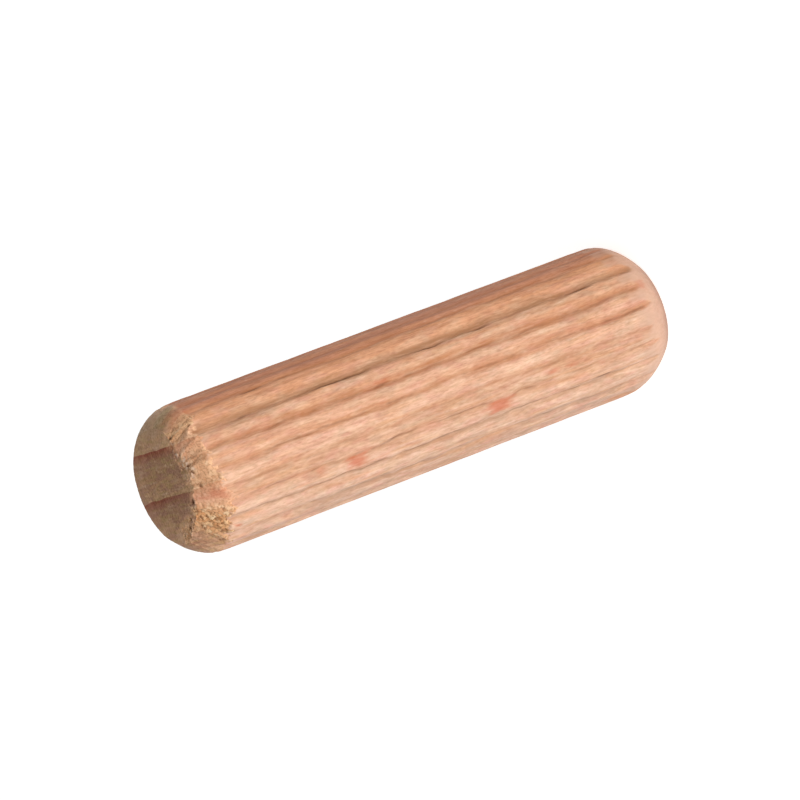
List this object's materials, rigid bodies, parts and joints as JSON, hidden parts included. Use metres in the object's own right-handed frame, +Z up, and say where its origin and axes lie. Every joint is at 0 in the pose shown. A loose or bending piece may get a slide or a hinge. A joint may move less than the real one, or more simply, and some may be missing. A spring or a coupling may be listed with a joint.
{
  "type": "fluted wooden dowel pin",
  "caption": "Short round beech dowel pin with straight glue flutes along its sides and a chamfer at each sawn end, for pinning and gluing two boards edge to edge.",
  "frame": {"origin": "centre of the lower sawn end, on the pin's axis", "axes": "+Z up along the pin's axis, from the end it stands on to the other end; +X through the middle of one flute"},
  "size_m": [0.008, 0.008, 0.03],
  "materials": {
    "beech": "bare milled beech, pinkish tan, with rough torn grain on the chamfers"
  },
  "bodies": {
    "root": {"dowel_pin": "beech"}
  },
  "joints": []
}
